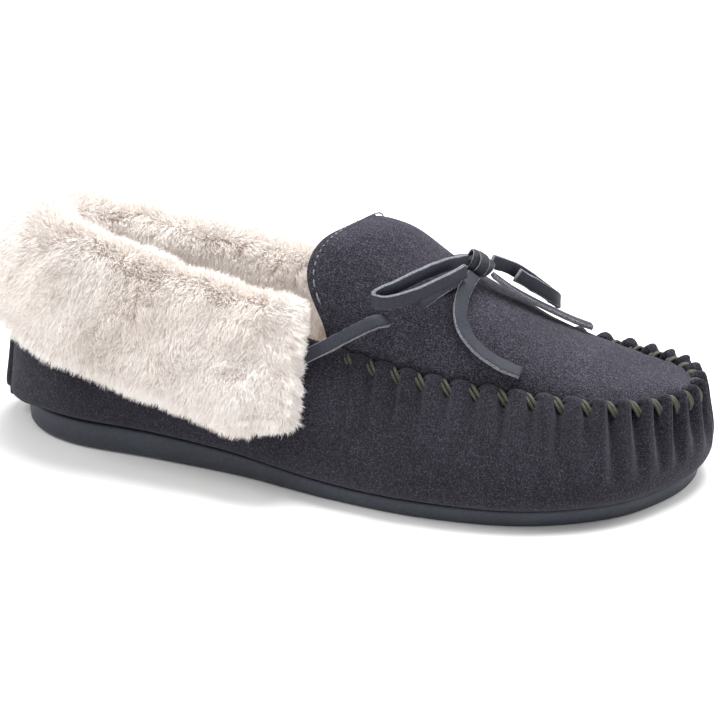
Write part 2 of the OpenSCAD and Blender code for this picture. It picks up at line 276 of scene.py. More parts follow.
def plain_grain(name, col, col2, rough, scale=900, bump=0.25, dist=0.0003, sheen=0.0, spec=0.5):
    m, b, N, L = new_mat(name)
    co = N.new("ShaderNodeTexCoord").outputs["Object"]
    g = noise(N, L, co, scale, 3, 0.6)
    big = noise(N, L, co, 60, 2, 0.5)
    c = ramp(N, L, g.outputs["Fac"], [(0.35, col), (0.65, col2)]).outputs[0]
    v = ramp(N, L, big.outputs["Fac"], [(0.3, (0.88, 0.88, 0.88)), (0.7, (1.1, 1.1, 1.1))]).outputs[0]
    L.new(mix(N, L, 1.0, c, v, "MULTIPLY"), b.inputs["Base Color"])
    rr = N.new("ShaderNodeMapRange")
    rr.inputs["To Min"].default_value = max(0, rough - 0.07)
    rr.inputs["To Max"].default_value = min(1, rough + 0.07)
    L.new(g.outputs["Fac"], rr.inputs["Value"])
    L.new(rr.outputs[0], b.inputs["Roughness"])
    set_in(b, Sheen_Weight=sheen, Specular_IOR_Level=spec)
    add_bump(N, L, b, g.outputs["Fac"], bump, dist)
    return m


def strand_mat(name, col, rough=0.85, sheen=0.15, glow=0.05):
    """Plush fibre; its weak warm glow stands for light that passes through the pile."""
    m, b, N, L = new_mat(name)
    b.inputs["Base Color"].default_value = (*col, 1)
    set_in(b, Roughness=rough, Sheen_Weight=sheen, Specular_IOR_Level=0.2, Emission_Strength=glow)
    b.inputs["Emission Color"].default_value = (1.0, 0.86, 0.77, 1)
    return m


# Two copies of one suede: the lighter one, on the apron and tongue, is painted light on the top; the darker one,
# on the walls, is painted shade on the sides.
M_LIT_SUEDE = suede("charcoal_suede_painted_light", (0.0072, 0.0067, 0.0101), (0.0262, 0.0244, 0.0345), (0.115, 0.108, 0.138))
M_SHADED_SUEDE = suede("charcoal_suede_painted_shade", (0.0036, 0.0033, 0.0053), (0.0152, 0.0142, 0.0206),
                     (0.066, 0.062, 0.082))
M_RUBBER = plain_grain("rubber_slate", (0.024, 0.028, 0.04), (0.034, 0.039, 0.054), 0.55, 700, 0.15, spec=0.4)
M_LACE = plain_grain("thong_face", (0.017, 0.0185, 0.028), (0.029, 0.0315, 0.045), 0.6, 1100, 0.35, 0.0002,
                     spec=0.3)
M_RAW = plain_grain("thong_cut_edge", (0.04, 0.04, 0.052), (0.3, 0.3, 0.34), 0.95, 2600, 0.8, 0.0006, 0.3, 0.1)
M_THREAD = plain_grain("olive_thread", (0.026, 0.027, 0.018), (0.085, 0.086, 0.06), 0.62, 3200, 0.6)
M_GREY = plain_grain("grey_thread", (0.12, 0.12, 0.135), (0.3, 0.3, 0.32), 0.7, 3000, 0.5)
M_BOARD = plain_grain("board", (0.4, 0.33, 0.24), (0.52, 0.44, 0.33), 0.9, 1500, 0.4)
M_FOAM = plain_grain("foam", (0.66, 0.62, 0.54), (0.78, 0.75, 0.67), 0.9, 1800, 0.6)
M_BACKING = plain_grain("plush_backing", (0.88, 0.78, 0.69), (0.95, 0.88, 0.81), 0.95, 1400, 0.5, 0.0008, 0.3,
                        0.1)
M_DARK = plain_grain("slot_shadow", (0.01, 0.01, 0.012), (0.02, 0.02, 0.024), 0.9)
# The root colour, darker and warmer than the middle and tip, is painted shade deep in the pile.
SHADED_ROOT, MIDDLE, TIP, WARM_TIP = 0, 1, 2, 3             # places in FUR
FUR = [strand_mat("fibre_base_painted_shade", (0.9, 0.815, 0.745)), strand_mat("fibre_mid", (0.92, 0.88, 0.848)),
       strand_mat("fibre_tip", (0.92, 0.9, 0.885)), strand_mat("fibre_warm", (0.92, 0.865, 0.82))]


# ---------------------------------------------------------------- mesh helpers
def unit(v, tiny=0.0):
    return v / (np.linalg.norm(v, axis=-1, keepdims=True) + tiny)


def make(name, verts, faces, mats, face_mat=None, smooth=True, body=BODY, rep=(), slot=None):
    """A mesh object from points in the part's mm, riding its body; rep names the CAD nodes it stands for."""
    me = bpy.data.meshes.new(name)
    verts = (np.asarray(verts, float).reshape(-1, 3) + SHIFT) / MM
    faces = np.asarray(faces)
    k = faces.shape[1]
    me.vertices.add(len(verts))
    me.vertices.foreach_set("co", verts.astype(np.float32).ravel())
    me.loops.add(faces.size)
    me.loops.foreach_set("vertex_index", faces.astype(np.int32).ravel())
    me.polygons.add(len(faces))
    me.polygons.foreach_set("loop_start", np.arange(0, faces.size, k, dtype=np.int32))
    for m in mats:
        me.materials.append(m)
    if face_mat is not None:
        me.polygons.foreach_set("material_index", np.asarray(face_mat, np.int32))
    me.polygons.foreach_set("use_smooth", np.full(len(faces), bool(smooth)))
    me.update(calc_edges=True)
    me.validate()
    ob = bpy.data.objects.new(name, me)
    bpy.context.collection.objects.link(ob)
    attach(ob, body)
    if rep:
        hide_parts(*rep)
    return ob


def grid_faces(n, m, wrap_n=False, wrap_m=False, start=0, flip=False):
    """Quads between the points of an n by m grid."""
    i = np.arange(n if wrap_n else n - 1)
    j = np.arange(m if wrap_m else m - 1)
    I, J = np.meshgrid(i, j, indexing="ij")
    a = I * m + J
    b = I * m + (J + 1) % m
    c = ((I + 1) % n) * m + (J + 1) % m
    d = ((I + 1) % n) * m + J
    q = np.stack([a, b, c, d], -1).reshape(-1, 4) + start
    return q[:, ::-1] if flip else q


def triangles(quads):
    return np.concatenate([quads[:, [0, 1, 2]], quads[:, [0, 2, 3]]])


def end_fans(n, m):
    """Fans that close both ends of a tube of n rings of m points, to two last points."""
    k = np.arange(m)
    last = (n - 1) * m
    return (np.stack([np.full(m, n * m), (k + 1) % m, k], -1),
            np.stack([np.full(m, n * m + 1), last + k, last + (k + 1) % m], -1))


def tube(path, r, sides):
    """Points and triangles of a round tube with closed ends along path (n, 3)."""
    P = np.asarray(path, float)
    T = unit(np.gradient(P, axis=0))
    S = np.cross(T, [0, 0, 1.0])
    steep = np.linalg.norm(S, axis=1) < 0.05
    S[steep] = np.cross(T[steep], [0, 1.0, 0])
    S = unit(S)
    V = np.cross(S, T)
    th = np.linspace(0, 2 * np.pi, sides, endpoint=False)
    rr = np.full(len(P), float(r))
    rr[0] *= 0.5
    rr[-1] *= 0.5
    ring = np.cos(th)[None, :, None] * S[:, None] + np.sin(th)[None, :, None] * V[:, None]
    R = P[:, None] + rr[:, None, None] * ring
    v = np.concatenate([R.reshape(-1, 3), P[:1] - T[:1] * rr[0], P[-1:] + T[-1:] * rr[-1]])
    return v, np.concatenate([triangles(grid_faces(len(P), sides, wrap_m=True)), *end_fans(len(P), sides)])


def tubes_object(name, paths, r, mats, sides, **kw):
    points, faces, count = [], [], 0
    for path in paths:
        v, f = tube(path, r, sides)
        points.append(v)
        faces.append(f + count)
        count += len(v)
    return make(name, np.concatenate(points), np.concatenate(faces), mats, **kw)


def smooth_path(P, n):
    """A spline through the points P, with n steps between each two."""
    P = np.asarray(P, float)
    out = []
    for i in range(len(P) - 1):
        for k in range(n):
            out.append(spline(P[max(0, i - 1)], P[i], P[i + 1], P[min(len(P) - 1, i + 2)], k / n))
    out.append(P[-1])
    return np.array(out)


# ---------------------------------------------------------------- the lace
THONG_W, THONG_T = 5.0, 1.8
LAT_LOOP = [[42.5, -0.6, 78.6], [38.5, -9, 80.4], [32.5, -18, 80], [25, -26.5, 77.6], [19.5, -31.5, 75.6],
            [19.8, -33.8, 74.6], [24.4, -32, 74], [32, -25.6, 75.2], [39.5, -17, 77.2], [44.6, -8, 78.4]]
MED_LOOP = [[49.6, 9, 75.6], [55, 15, 71.4], [60.5, 20.6, 65.6], [65.5, 25.6, 59], [68, 28.4, 55.4],
            [69.8, 27.4, 54.8], [69, 22.8, 58.6], [64, 16.5, 64.8], [58.4, 12, 70.2]]
LAT_TAIL = [[46, -1.6, 74.2], [45.4, -7, 73.2], [45, -12.9, 70.3], [46, -18.9, 66], [49.2, -22.2, 61],
            [54.5, -23.7, 56.3], [61.5, -23.8, 52.2], [69.1, -22.8, 49.2]]
MED_TAIL = [[51.6, 4.4, 72.4], [58, 7.4, 66.6], [65, 11.6, 61], [72, 15.8, 56], [78, 19, 52.2],
            [83.5, 21.6, 49.4]]
LAT_RUN = [[3, -33.4, 55.4], [10.6, -32, 60.4], [17.2, -29.7, 64], [19.9, -27.2, 64.2], [21.2, -24, 63.4],
           [26, -20.4, 66], [31.4, -18.2, 68.4], [37.2, -11.4, 72.4], [41.4, -4.6, 74]]
MED_RUN = [[3, 33, 54.4], [10.6, 32.6, 59.4], [18, 30.6, 63.4], [22, 27.4, 59.4], [27, 23.4, 62],
           [31.6, 20.6, 67.6], [37.8, 15, 72.6], [43.6, 9.4, 75.6]]
# Section of the thong, in half widths and half thicknesses, and the places round it that are cut edge
THONG_SECTION = np.array([
    [1, -.5], [1.02, 0], [1, .5], [.93, .86], [.78, 1], [.4, 1.04], [0, 1.05], [-.4, 1.04], [-.78, 1],
    [-.93, .86], [-1, .5], [-1.02, 0], [-1, -.5], [-.93, -.86], [-.78, -1], [0, -1], [.78, -1], [.93, -.86]])
CUT_EDGE = [0, 1, 2, 9, 10, 11, 12, 16, 17]


def thong(name, P, U, seed, body, rep=()):
    """A flat thong along points P whose wide face looks along U, with rough cut edges."""
    n, m = len(P), len(THONG_SECTION)
    T = unit(np.gradient(P, axis=0))
    S = unit(np.cross(T, U))
    V = np.cross(S, T)
    across, through = THONG_SECTION[:, 0], THONG_SECTION[:, 1]
    w = THONG_W / 2 * (1 + 0.05 * value_noise(np.c_[np.arange(n) * 0.35, np.full(n, seed), np.zeros(n)], 3))
    R = P[:, None] + S[:, None] * (across[None] * w[:, None])[..., None]
    R = R + V[:, None] * (through[None, :] * THONG_T / 2)[..., None]
    fray = 0.13 * value_noise(R.reshape(-1, 3) * 1.7, seed).reshape(n, m)
    R += S[:, None] * (fray * (np.abs(across) > 0.95)[None, :])[..., None]
    v = np.concatenate([R.reshape(-1, 3), P[:1] - T[:1] * 0.1, P[-1:] + T[-1:] * 0.1])
    f = np.concatenate([triangles(grid_faces(n, m, wrap_m=True)), *end_fans(n, m)])
    raw = np.isin(np.tile(np.arange(m), n - 1), CUT_EDGE)
    face_mat = np.concatenate([raw, raw, np.ones(2 * m, bool)]).astype(int)
    return make(name, v, f, [M_LACE, M_RAW], face_mat, body=body, rep=rep, slot="thong_leather")


def edge_up(P):
    """The way a thong along P faces when it stands on its edge."""
    return unit(np.cross(unit(np.gradient(P, axis=0)), [0, 0, 1.0]))


STRANDS = (("loop_near", LAT_LOOP, "loop_lateral", "lateral_loop", "object"),
           ("loop_far", MED_LOOP, "loop_medial", "medial_loop", "object"),
           ("tail_near", LAT_TAIL, "tail_lateral", "lateral_tail", "bare"),
           ("tail_far", MED_TAIL, "tail_medial", "medial_tail", "bare"))
for number, (name, pts, body, node, far) in enumerate(STRANDS):
    P = smooth_path(pts, 10)
    if "loop" in name:
        U = edge_up(P)
    else:
        U = np.tile([0.5, (-1 if "near" in name else 1) * 0.35, 0.8], (len(P), 1))
    ob = thong(name, P, U, number + 1, body, (node,))

# the held lace: from the knot through the far slots, round the heel under the cuff, and back to the knot
u_back = np.linspace(-4.7, 4.7, 160)
lat = smooth_path(LAT_RUN, 10)
med = smooth_path(MED_RUN[::-1], 10)
run_P = np.concatenate([med, wall(u_back, 0.88, -1.25), lat])
run_U = np.concatenate([np.tile([0.3, 1, 1.1], (len(med), 1)), np.c_[outward(u_back), np.zeros(len(u_back))],
                        np.tile([0.3, -1, 1.1], (len(lat), 1))])
thong("lace_held", run_P, run_U, 9, BODY, ("lace_run",))

# the knot: three bands of thong wrapped round the crossing, over a core
KNOT = np.array([46.2, 4.0, 76.2])
CORE = (4.4, 3.0, 2.8)
BANDS = ((4.1, 3.1, 0.2, -0.4, 0.3, 1.25), (3.5, 2.6, 1.9, 2.0, -0.35, 1.1), (3.2, 2.4, 4.1, -2.6, -0.2, 1.0))
ax = unit(np.array([0.75, 0.3, -0.58]))
e1 = unit(np.cross(ax, [0, 0, 1.0]))
e2 = np.cross(e1, ax)
n, m = 64, 14
turn, section = np.meshgrid(np.linspace(0, 2 * np.pi, n, endpoint=False),
                            np.linspace(0, 2 * np.pi, m, endpoint=False), indexing="ij")
cw = np.sign(np.cos(section)) * np.abs(np.cos(section)) ** 0.5
ct = np.sign(np.sin(section)) * np.abs(np.sin(section)) ** 0.6
raw = (np.abs(cw.reshape(-1)) > 0.86).astype(int)
kv, kf, km, off = [], [], [], 0
for radius, width, start, along0, tilt, thick in BANDS:
    rad = radius + 0.35 * np.sin(2 * turn + start) + ct * thick * 0.6
    along = along0 + cw * width / 1.6 + tilt * radius * np.cos(turn + start)
    V = KNOT + ax * along[..., None] + (np.cos(turn) * rad)[..., None] * e1
    V = V + (np.sin(turn) * rad * 0.92)[..., None] * e2
    kv.append(V.reshape(-1, 3))
    kf.append(triangles(grid_faces(n, m, True, True, off)))
    km.append(np.concatenate([raw, raw]))
    off += n * m
lat_, lon = np.meshgrid(np.linspace(0, np.pi, 13), np.linspace(0, 2 * np.pi, 24, endpoint=False), indexing="ij")
V = KNOT + ax * (CORE[0] * np.cos(lat_))[..., None] + (CORE[1] * np.sin(lat_) * np.cos(lon))[..., None] * e1
V = V + (CORE[2] * np.sin(lat_) * np.sin(lon))[..., None] * e2
kv.append(V.reshape(-1, 3))
kf.append(triangles(grid_faces(13, 24, False, True, off)))
km.append(np.zeros(len(kf[-1]), int))
make("knot", np.concatenate(kv), np.concatenate(kf), [M_LACE, M_RAW], np.concatenate(km), rep=("lace_knot",),
     slot="thong_leather")

# ---------------------------------------------------------------- suede wall with gathered pleats
NU = 1400
u = np.linspace(0, COUNT, NU, endpoint=False)
t_fine = np.linspace(-0.1, 1.1, 2401)
# the stitches stand closer together at the toe than at the throat
stitch_u = U0 + (U1 - U0) * (t_fine - 0.22 * np.sin(2 * np.pi * t_fine) / (2 * np.pi))


def stitch_index(q):
    """Which stitch a place on the ridge is at, counted from the near end of the throat."""
    return np.interp(q, stitch_u, t_fine) * (STITCHES - 1)


phase = 2 * np.pi * stitch_index(u)
toe = np.clip((u - 4.9) / 1.2, 0, 1) * np.clip((15.1 - u) / 1.2, 0, 1)
front = np.exp(-((u - 10) / 2.6) ** 4)
cell = np.floor(stitch_index(u) + 0.5)
rnd = value_noise(np.c_[cell * 1.37, np.zeros(NU), np.zeros(NU) + 4.2], 5)
rnd2 = value_noise(np.c_[u * 1.9, np.zeros(NU), np.zeros(NU)], 8)
outer_s = np.r_[0, np.linspace(0.02, 0.97, 44) ** 0.92, 0.985, 1.0]
# the top edge turns over inwards: inset, and height over the wall's top
LIP = ((0.25, 0.55), (0.9, 1.0), (1.9, 1.2), (2.9, 0.9), (3.6, 0.2), (3.9, -1.0), (4.0, -2.6), (3.8, -4.6))
pinch, swell = np.maximum(0, np.cos(phase)), np.maximum(0, -np.cos(phase))
cols = [wall(u, 0.004, 3.0)]
for s in outer_s:
    fade = np.clip((s - (0.44 - 0.20 * front - 0.14 * rnd)) / (0.50 + 0.16 * front), 0, 1)
    amp = toe * (4.2 - 0.7 * front) * (1 + 0.4 * rnd) * fade ** (1.0 - 0.05 * front)
    ph = phase + 0.9 * rnd2 * (1 - s)
    flute = 1.5 * np.maximum(0, 0.5 + 0.5 * np.cos(ph)) ** (2.2 - 0.7 * front) - 0.5
    P = wall(u, s, amp * flute - skin_flare(u, s))
    wrinkle = value_noise(P / 16.0, 2) * 0.55 + value_noise(P / np.array([7.0, 7.0, 14.0]), 3) * 0.28 * toe
    n = outward(u)
    k = wrinkle * math.sin(math.pi * min(1, s * 0.98 + 0.01)) ** 0.5
    P[:, :2] += n * k[:, None]
    tuck = max(0.0, 1 - s / 0.05) * 1.6 * (1 - np.exp(-(signed(u) / 1.3) ** 4))[:, None]
    P[:, :2] -= n * tuck
    P[:, 2] -= toe * 2.2 * pinch ** 1.6 * max(0, s - 0.86) / 0.14
    cols.append(P)
lobe = toe * (0.9 + 0.5 * front) * swell ** 0.8
for inset, dz in LIP:
    outer = inset < 2
    taper = 1 - inset / 2.0 if outer else -(inset - 2) / 2.6
    P = wall(u, 1.0, inset - lobe * (1.1 if outer else 0.3) + toe * 1.3 * pinch ** 1.5 * taper)
    P[:, 2] += dz + 0.7 * lobe - toe * 2.4 * pinch ** 1.6
    cols.append(P)
cols.append(wall(u, 0.72, 4.0))
W = np.stack(cols, 1)
# the wall takes the darker suede copy, painted shade on the sides
make("suede_wall", W.reshape(-1, 3), grid_faces(NU, W.shape[1], wrap_n=True), [M_SHADED_SUEDE],
     rep=("upper_wall",), slot="suede")

# heel strip behind the wall
STRIP_HALF = 0.42
uu = np.linspace(-STRIP_HALF, STRIP_HALF, 40)
ss = np.r_[-0.045, -0.02, 0.0, np.linspace(0.01, 0.66, 34)]
prof = 1.0 - (np.abs(uu) / STRIP_HALF) ** 8
O = np.stack([wall(uu, s, -0.2 - 2.3 * prof ** 0.5 - skin_flare(uu, max(0, s))) for s in ss], 1)
I = np.stack([wall(uu, s, -skin_flare(uu, max(0, s))) for s in ss], 1)
n, m = O.shape[:2]
o2 = n * m
k = np.arange(n - 1)
lower_edge = np.stack([k * m, (k + 1) * m, o2 + (k + 1) * m, o2 + k * m], -1)
# the heel strip takes the darker suede copy, painted shade on the sides
make("heel_strip", np.concatenate([O.reshape(-1, 3), I.reshape(-1, 3)]),
     np.concatenate([grid_faces(n, m), lower_edge]), [M_SHADED_SUEDE], rep=("heel_tab",), slot="suede")

# ---------------------------------------------------------------- apron and tongue
us = np.linspace(THROAT, 9.75, 250)
ks = np.linspace(1, 0.03, 26)
ww = np.sin(np.linspace(-1, 1, 151) * np.pi / 2)
ww = np.sign(ww) * np.abs(ww) ** 0.9


def sheet_points(ins, drop, edge):
    Tn = tongue(ks[:, None], ww[None, :], ins, drop, edge)
    Ap = apron(us[:, None], ww[None, :], ins, drop, edge)
    return np.concatenate([Tn, Ap])



top = sheet_points(SUEDE_IN, 0.0, CREST_DROP)
bot = sheet_points(4.4, 1.7, 3.4)
# small puckers beside the ridge, and soft folds over the instep
U_full = np.concatenate([np.full(len(ks), float(THROAT)), us])[:, None]
ph_l = 2 * np.pi * stitch_index(U_full)
from_edge = 1 - np.abs(ww[None, :])
puck = np.cos(ph_l) * np.exp(-(from_edge / (0.10 + 0.12 * (U_full > 8.5))))
puck = puck * np.clip((U_full - 5.1) / 0.3, 0, 1)
soft = value_noise(top / np.array([24.0, 20.0, 40.0]), 21) * 0.7
soft = soft + value_noise(top / np.array([10.0, 9.0, 30.0]), 22) * 0.22
bump_z = 0.45 * puck + soft * np.clip(1 - np.abs(ww[None, :]) ** 6, 0, 1)
# dimples where the thong passes through
for c in ((20.5, -28.2), (32.5, -18.3), (20.5, 29.6), (33, 20.6)):
    d2 = ((top[..., 0] - c[0]) ** 2 + (top[..., 1] - c[1]) ** 2)
    bump_z -= 1.1 * np.exp(-d2 / 9.0)
past_throat = np.maximum(0, apron(us[:, None], ww[None, :])[..., 0] - apron(float(THROAT), ww)[None, :, 0])
from_rim = np.concatenate([(1 - ks[:, None]) * rim_back(ww)[None, :], rim_back(ww)[None, :] + past_throat])


def crest(d):
    """The tongue's rounded crest, at distance d from its rim."""
    return -2.0 * np.exp(-(d / 3.2) ** 1.2) + 2.6 * np.exp(-((d - 15) / 9) ** 2) * (1 - np.exp(-d / 4))


bump_z += crest(from_rim) * np.clip(1 - ww[None, :] ** 2, 0, 1)
top[..., 2] += bump_z
bot[..., 2] += bump_z
n, m = top.shape[:2]
v = np.concatenate([top.reshape(-1, 3), bot.reshape(-1, 3)])
o2 = n * m
f = [grid_faces(n, m, flip=True), grid_faces(n, m, start=o2)]
k = np.arange(m - 1)
f.append(np.stack([k, k + 1, o2 + k + 1, o2 + k], -1))
f.append(np.stack([(n - 1) * m + k + 1, (n - 1) * m + k, o2 + (n - 1) * m + k, o2 + (n - 1) * m + k + 1], -1))
k = np.arange(n - 1)
f.append(np.stack([(k + 1) * m, k * m, o2 + k * m, o2 + (k + 1) * m], -1))
f.append(np.stack([k * m + m - 1, (k + 1) * m + m - 1, o2 + (k + 1) * m + m - 1, o2 + k * m + m - 1], -1))
F = np.concatenate(f)
slots = np.zeros(len(F), int)
mid_f = v[F[:, 0]]
skin = slice(0, (n - 1) * (m - 1))
for c in ((20.4, -27.2, 64.2), (31.4, -18.6, 69.4), (20.2, 28.4, 63.4), (31.6, 20.8, 68.6)):
    d3 = ((mid_f - np.array(c)) / np.array([2.9, 3.2, 1.9])) ** 2
    slots[skin] |= (d3.sum(1) < 1)[skin].astype(int)
# the apron and tongue take the lighter suede copy, painted light on the top; the thong slots take the
# painted-shadow material
make("apron_and_tongue", v, F, [M_LIT_SUEDE, M_DARK], slots, rep=("apron",), slot="suede")

# ---------------------------------------------------------------- whipstitches over the ridge
# way of one strand over the ridge: inset, height over the top edge, and its share of the lean
STRAND = ((2.6, -9.4, 1.0), (0.6, -8.4, 0.85), (-0.5, -5.8, 0.5), (-0.5, -3.0, 0.15), (0.5, -0.9, -0.15),
          (1.9, -0.1, -0.35), (3.4, -0.6, -0.55), (4.6, -2.4, -0.72), (4.9, -3.8, -0.8))
paths = []
for i in range(STITCHES):
    at = float(np.interp(i / (STITCHES - 1), t_fine, stitch_u))
    lean = (-1 if at > TOE else 1) * 0.16 * (1 - 0.6 * math.exp(-((at - TOE) / 1.2) ** 2))
    for side in (-0.03, 0.03):
        pts = []
        for inset, dz, share in STRAND:
            q = at + side + lean * share
            p, nrm = station(q), outward(q)
            inset += (0.6 if dz > -6 else 0.24) * 0.2
            pts.append([p[2] - nrm[0] * inset, p[3] - nrm[1] * inset, p[4] + dz * (0.86 if dz < 0 else 0.8)])
        paths.append(smooth_path(pts, 4))
tubes_object("whipstitches", paths, 0.72, [M_THREAD], 8, rep=("whipstitch_thread",), slot="olive_thread")

# stitch line inside the tongue's rim; the four at its very top are left out
EDGE_STITCHES, EDGE_REACH, RIM_TO_STITCH = 33, 0.93, 2.6
paths = []
for i in range(EDGE_STITCHES + 1):
    w0 = -EDGE_REACH + 2 * EDGE_REACH * i / EDGE_STITCHES
    if abs(w0) < 0.12:
        continue
    points = []
    for t in (-0.35, -0.2, 0, 0.2, 0.35):
        w = w0 + t * 0.048
        crown = (-0.9 + float(crest(RIM_TO_STITCH))) * (1 - w * w)
        inner = tongue(1.0, w, SUEDE_IN, 0.0, CREST_DROP) + np.array([RIM_TO_STITCH, 0, crown])
        points.append(inner + unit(np.array([-0.1, w * 0.9, 0.6])) * (0.55 - 3.0 * t * t))
    paths.append(np.array(points))
tubes_object("tongue_edge_stitches", paths, 0.3, [M_GREY], 6, rep=("tongue_stitching",), slot="grey_thread")

# ---------------------------------------------------------------- plush
rng = np.random.default_rng(7)
PER_OBJECT = 38000                                   # fibres in one object
DENS = 1.0


def fur_patch(name, base, nrm, lean, count, length, clump, seed, width=0.34, curl=0.5, tip=TIP, slot="plush",
              clump_r=3.0):
    """Tapered fibres on a grid of points base (n, m, 3) with normals nrm; lean (n, m, 3) is the way they lie."""
    count = int(count * DENS)
    m = base.shape[1]
    A, B, C, D = base[:-1, :-1], base[:-1, 1:], base[1:, 1:], base[1:, :-1]
    area = np.linalg.norm(np.cross(B - A, D - A), axis=-1) + np.linalg.norm(np.cross(B - C, D - C), axis=-1)
    area = 0.5 * area
    cell = rng.choice(area.size, count, p=(area / area.sum()).ravel())
    i, j = cell // (m - 1), cell % (m - 1)
    s, t = rng.random(count)[:, None], rng.random(count)[:, None]

    def lerp(G):
        return (G[i, j] * (1 - s) * (1 - t) + G[i + 1, j] * s * (1 - t) + G[i + 1, j + 1] * s * t
                + G[i, j + 1] * (1 - s) * t)

    P, Nn, Ln = lerp(base), unit(lerp(nrm)), lerp(lean)
    # clumps: neighbouring fibres share a direction and gather towards a centre
    cc = np.floor(P / clump_r + value_noise(P / 9.0, seed)[:, None] * 0.8)
    h = np.stack([value_noise(cc * 1.31 + k * 17.7, seed + k) for k in range(3)], -1)
    sw = np.stack([value_noise(P / 17.0 + k * 9.1, seed + 5 + k) for k in range(3)], -1)
    to_c = (cc + 0.5) * clump_r - P
    to_c -= Nn * (to_c * Nn).sum(1)[:, None]
    to_c = np.clip(to_c, -clump_r, clump_r)
    L = length * (0.72 + 0.5 * rng.random(count)) * (1 + 0.16 * h[:, 0])
    # three joints of a fibre, each turned a little further
    D1 = unit(Nn + Ln * 0.55 + h * clump * 0.5 + sw * clump + rng.normal(0, 0.2, (count, 3)) * curl)
    D2 = D1 + Ln * 0.75 + to_c * 0.12 * clump + h * clump * 0.8
    D2 = unit(D2 + rng.normal(0, 0.3, (count, 3)) * curl)
    D3 = unit(D2 + Ln * 0.5 + rng.normal(0, 0.35, (count, 3)) * curl + to_c * 0.08)
    K0 = P - Nn * 0.4
    K1 = P + D1 * (L * 0.38)[:, None]
    K2 = K1 + D2 * (L * 0.36)[:, None]
    K3 = K2 + D3 * (L * 0.3)[:, None]
    side = unit(np.cross(D1, Nn + rng.normal(0, 0.12, (count, 3))))
    across = np.cross(side, D1)
    tw = rng.normal(0, 0.38, (count, 1))
    side = side * np.cos(tw) + across * np.sin(tw)
    wd = width * (0.7 + 0.6 * rng.random(count))[:, None]
    V = np.stack([K0 - side * wd, K0 + side * wd, K1 - side * wd * 0.9, K1 + side * wd * 0.9,
                  K2 - side * wd * 0.62, K2 + side * wd * 0.62, K3], 1)
    turned = (np.cross(D1, side) * Nn).sum(1) > 0
    V[turned] = V[turned][:, [1, 0, 3, 2, 5, 4, 6]]
    k = np.arange(count)[:, None] * 7
    F = np.concatenate([k + [0, 1, 3], k + [0, 3, 2], k + [2, 3, 5], k + [2, 5, 4], k + [4, 5, 6]], 1)
    F = F.reshape(-1, 3)
    warm = rng.random(count) < 0.3 + 0.55 * value_noise(P / 22.0, seed + 9)
    # each fibre's root segment takes the painted-shade colour
    root, middle = np.full(count, SHADED_ROOT), np.full(count, MIDDLE)
    fm = np.stack([root, root, middle, middle, np.where(warm, WARM_TIP, tip)], 1).ravel()
    for b in range(0, count, PER_OBJECT):
        c = min(PER_OBJECT, count - b)
        make(name if b == 0 else f"{name}_{b // PER_OBJECT + 1}", V[b:b + c].reshape(-1, 3),
             F[b * 5:(b + c) * 5] - b * 7, FUR, fm[b * 5:(b + c) * 5], smooth=False, slot=slot)


# cuff body under the fibres
NCU, CUFF_END = 260, 4.66
uc = np.linspace(-CUFF_END, CUFF_END, NCU)
flat_out = outward(uc)
tz = station(uc)[:, 4]
ve = np.clip((np.abs(uc) - 4.2) / 0.5, 0, 1)
T_out = 8.8 - 2.6 * ve - 2.4 * np.maximum(0, 1 - np.abs(uc) / 2)
lo2 = cuff_low(uc) + 5 + 2 * ve


def cuff_line(out, z):
    """A line round the cuff, out mm outside the wall at height z."""
    r = wall_z(uc, np.minimum(z, tz), np.zeros(NCU))
    r[:, :2] += flat_out * np.reshape(out, (-1, 1))
    r[:, 2] = z
    return r


pt = np.clip((uc + 0.5) / 2.5, 0, 1)
pl = 5 * pt * pt * (3 - 2 * pt)
gi = 8 * np.exp(-uc * uc / 2.6)
ctrl = [cuff_line(3.0, lo2 + 1.0), cuff_line(T_out * 0.55, lo2 - 0.5), cuff_line(T_out * 0.9, lo2 + 3),
        cuff_line(T_out + 0.3, lo2 + 9), cuff_line(T_out + 0.6, (tz + lo2) / 2), cuff_line(T_out + 0.3, tz - 4),
        cuff_line(T_out - 1.0 - 0.2 * gi, tz + 1.8 + 0.7 * pl), cuff_line(T_out * 0.5 - 0.6 * gi, tz + 6.2 + pl),
        cuff_line(0.0 - 0.95 * gi, tz + 7.0 + pl), cuff_line(-4.0 - 1.05 * gi, tz + 4.6 + 0.9 * pl),
        cuff_line(-6.0 - 1.05 * gi, tz - 0.5 + 0.5 * pl), cuff_line(-6.6 - gi, tz - 10),
        cuff_line(-6.6 - 0.8 * gi, tz - 20)]
dense = smooth_path(np.stack(ctrl, 0).reshape(len(ctrl), -1), 6).reshape(-1, NCU, 3)
base = dense.transpose(1, 0, 2)
lump = value_noise(base / 13.0, 31) * 1.2 + value_noise(base / 6.0, 32) * 0.5
nr = unit(np.cross(np.gradient(base, axis=1), np.gradient(base, axis=0)), 1e-9)
inside_out = (nr[:, 20, :2] * flat_out).sum(-1).mean() < 0
if inside_out:
    nr = -nr
base = base + nr * lump[..., None]
MC = base.shape[1]
cuff = make("cuff_body", base.reshape(-1, 3), grid_faces(NCU, MC, flip=inside_out), [M_BACKING],
            rep=("fur_cuff",), slot="plush")
# the pile lies downwards, less so over the fold and on the inside
frac = np.linspace(0, 1, MC)[None, :, None]
down = np.zeros_like(base)
down[..., 2] = -1.0
inner = np.clip((frac - 0.66) / 0.1, 0, 1)
lean = down * (1 - inner) * 0.55 + down * inner * 0.4
lean = lean * (1 - 0.75 * np.exp(-((frac - 0.6) / 0.12) ** 2))
n3 = np.zeros_like(base)
n3[..., :2] = flat_out[:, None, :]
lean = lean + n3 * 0.3 * (1 - inner)
fur_patch("cuff_fibres", base, nr, lean, 250000, 4.4, 0.3, 11, width=0.14, clump_r=6.0, curl=0.62)
